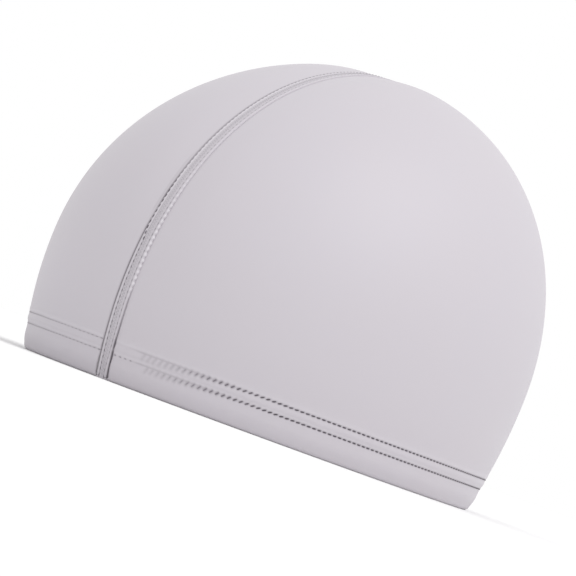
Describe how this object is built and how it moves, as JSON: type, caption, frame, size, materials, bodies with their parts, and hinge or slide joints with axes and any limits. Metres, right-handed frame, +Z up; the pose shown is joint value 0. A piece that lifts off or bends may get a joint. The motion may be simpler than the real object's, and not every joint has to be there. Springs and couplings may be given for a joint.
{
  "type": "swim cap",
  "caption": "Two-panel swim cap of coated stretch cloth with a flat seam over the crown and a folded, double-stitched hem, standing open side down.",
  "frame": {"origin": "on the floor, under the middle of the cap's outline (bounding box bottom centre)", "axes": "+Z up from the rim to the crown, -Y the way the wearer faces, +X the wearer's left"},
  "size_m": [0.166, 0.2084, 0.137],
  "materials": {
    "coated_cloth": "smooth satin coating, pale lilac grey, with a white knitted back",
    "seam_thread": "matt lilac grey thread laid in flat rows"
  },
  "bodies": {
    "root": {"panel_left": "coated_cloth", "panel_right": "coated_cloth", "crown_seam": "seam_thread"}
  },
  "joints": []
}
